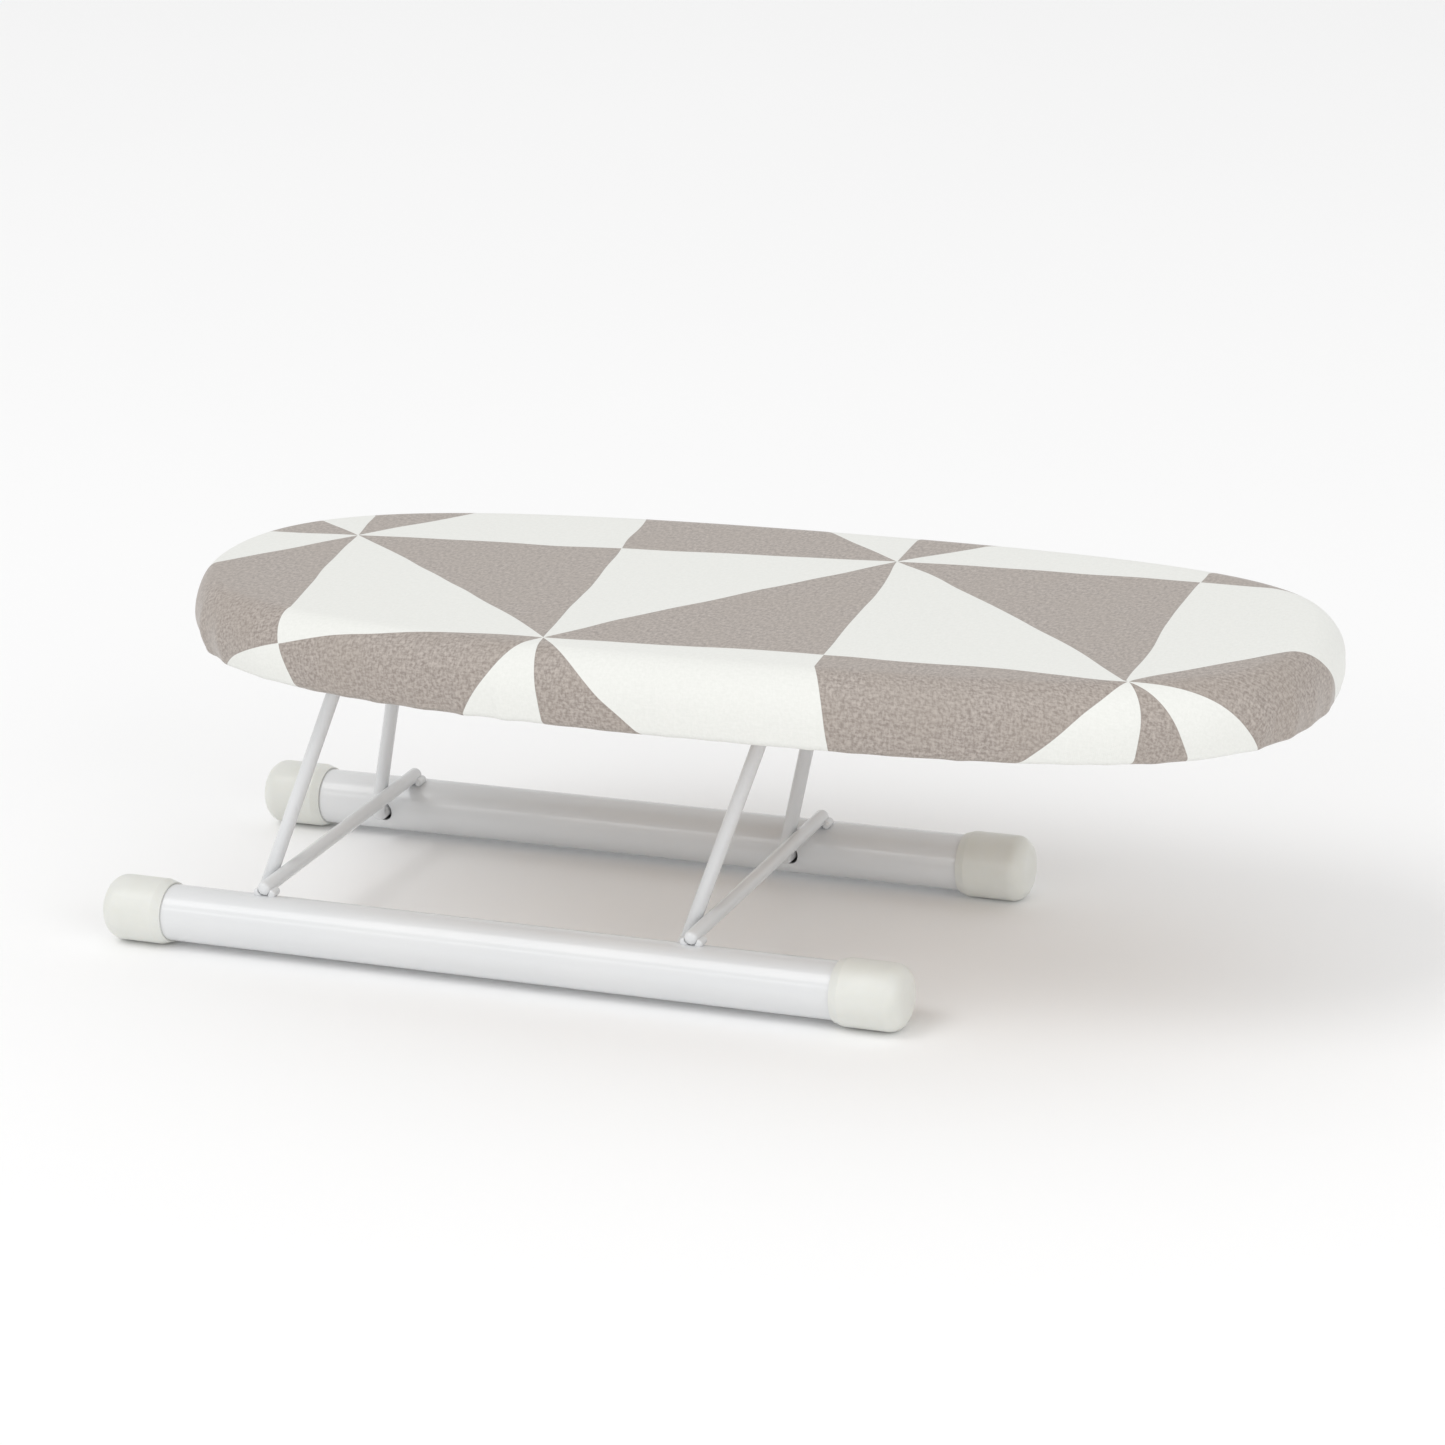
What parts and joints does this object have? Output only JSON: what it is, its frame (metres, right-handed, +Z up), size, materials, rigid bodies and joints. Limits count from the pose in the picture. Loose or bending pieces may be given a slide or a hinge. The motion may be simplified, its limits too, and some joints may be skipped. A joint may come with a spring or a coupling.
{
  "type": "tabletop ironing board",
  "caption": "Small padded oval ironing board for a table top, on bent-wire legs that lean over a tubular stand and fold flat.",
  "frame": {"origin": "on the table, under the middle of the whole object", "axes": "+X along the board towards its overhanging nose, +Y across it, +Z up"},
  "size_m": [0.2734, 0.1, 0.0813],
  "materials": {
    "painted_tube": "smooth satin white powder coat",
    "painted_wire": "satin white powder coat",
    "foot_cap": "moulded off-white plastic, slightly translucent",
    "fibreboard": "raw medium-density fibreboard",
    "felt_pad": "felt over soft foam",
    "cotton_cover": "off-white woven cotton with a printed grey-brown star of triangles",
    "zinc_steel": "bright zinc plate",
    "screw_steel": "nickel plate"
  },
  "bodies": {
    "base": {"front_foot_tube": "painted_tube", "rear_foot_tube": "painted_tube", "front_left_cap": "foot_cap", "front_right_cap": "foot_cap", "rear_left_cap": "foot_cap", "rear_right_cap": "foot_cap", "left_crossbar": "painted_wire", "right_crossbar": "painted_wire", "crossbar_welds": "painted_wire"},
    "left_leg": {"left_leg_wire": "painted_wire"},
    "right_leg": {"right_leg_wire": "painted_wire"},
    "board": {"board_core": "fibreboard", "foam_pad": "felt_pad", "cover": "cotton_cover", "cover_staples": "zinc_steel", "left_hinge_bracket": "zinc_steel", "right_hinge_bracket": "zinc_steel", "left_bracket_screws": "screw_steel", "right_bracket_screws": "screw_steel"}
  },
  "joints": [
    {"name": "left_leg_fold", "type": "hinge", "parent": "base", "child": "left_leg", "pos_m": [-0.10421, 0, 0.0074], "axis": [0, -1, 0], "range_deg": [0, 100]},
    {"name": "right_leg_fold", "type": "hinge", "parent": "base", "child": "right_leg", "pos_m": [-0.00071, 0, 0.0074], "axis": [0, -1, 0], "range_deg": [0, 100]},
    {"name": "board_level", "type": "hinge", "parent": "left_leg", "child": "board", "pos_m": [-0.08468, 0, 0.06413], "axis": [0, -1, 0], "range_deg": [-100, 0]}
  ],
  "couplings": [
    {"joint": "right_leg_fold", "follows": "left_leg_fold", "ratio": 1},
    {"joint": "board_level", "follows": "left_leg_fold", "ratio": -1}
  ]
}
